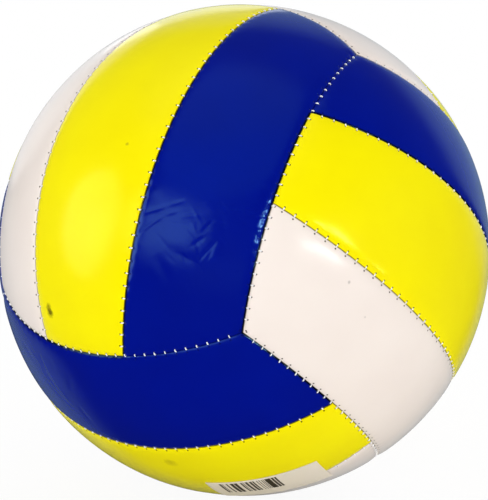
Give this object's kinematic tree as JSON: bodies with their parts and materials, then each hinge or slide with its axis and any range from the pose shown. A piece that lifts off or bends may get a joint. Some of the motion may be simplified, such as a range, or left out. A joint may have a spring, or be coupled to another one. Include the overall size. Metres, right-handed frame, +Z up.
{
  "type": "volleyball",
  "caption": "Sewn indoor volleyball with blue, yellow and white panels of glossy sheet, a rubber bladder and an inflation valve with a pull-out core.",
  "frame": {"origin": "the centre of the ball", "axes": "+Z up as the ball lies in the picture, valve axis along -X, front face towards -Y and tilted upwards"},
  "size_m": [0.2099, 0.21, 0.21],
  "materials": {
    "blue_skin": "glossy PVC sheet",
    "yellow_skin": "glossy PVC sheet",
    "white_skin": "glossy PVC sheet",
    "foam_backing": "foam with a cloth face",
    "sewing_thread": "waxed polyester thread",
    "bladder_rubber": "matt butyl rubber",
    "valve_rubber": "satin rubber",
    "label_paper": "coated paper"
  },
  "bodies": {
    "ball": {"front_blue_panel": "blue_skin", "front_yellow_panel": "yellow_skin", "front_white_panel": "white_skin", "right_blue_panel": "blue_skin", "right_yellow_panel": "yellow_skin", "right_white_panel": "white_skin", "bottom_blue_panel": "blue_skin", "bottom_yellow_panel": "yellow_skin", "bottom_white_panel": "white_skin", "back_blue_panel": "blue_skin", "back_yellow_panel": "yellow_skin", "back_white_panel": "white_skin", "left_blue_panel": "blue_skin", "left_yellow_panel": "yellow_skin", "left_white_panel": "white_skin", "top_blue_panel": "blue_skin", "top_yellow_panel": "yellow_skin", "top_white_panel": "white_skin", "front_blue_backing": "foam_backing", "front_yellow_backing": "foam_backing", "front_white_backing": "foam_backing", "right_blue_backing": "foam_backing", "right_yellow_backing": "foam_backing", "right_white_backing": "foam_backing", "bottom_blue_backing": "foam_backing", "bottom_yellow_backing": "foam_backing", "bottom_white_backing": "foam_backing", "back_blue_backing": "foam_backing", "back_yellow_backing": "foam_backing", "back_white_backing": "foam_backing", "left_blue_backing": "foam_backing", "left_yellow_backing": "foam_backing", "left_white_backing": "foam_backing", "top_blue_backing": "foam_backing", "top_yellow_backing": "foam_backing", "top_white_backing": "foam_backing", "front_stitching": "sewing_thread", "right_stitching": "sewing_thread", "bottom_stitching": "sewing_thread", "back_stitching": "sewing_thread", "left_stitching": "sewing_thread", "top_stitching": "sewing_thread", "bladder": "bladder_rubber", "valve_boot": "valve_rubber", "paper_label": "label_paper"},
    "valve_plug": {"valve_core": "valve_rubber"}
  },
  "joints": [
    {"name": "valve_core_pull", "type": "slide", "parent": "ball", "child": "valve_plug", "axis": [-1, 0, 0], "range_m": [0, 0.024]}
  ]
}
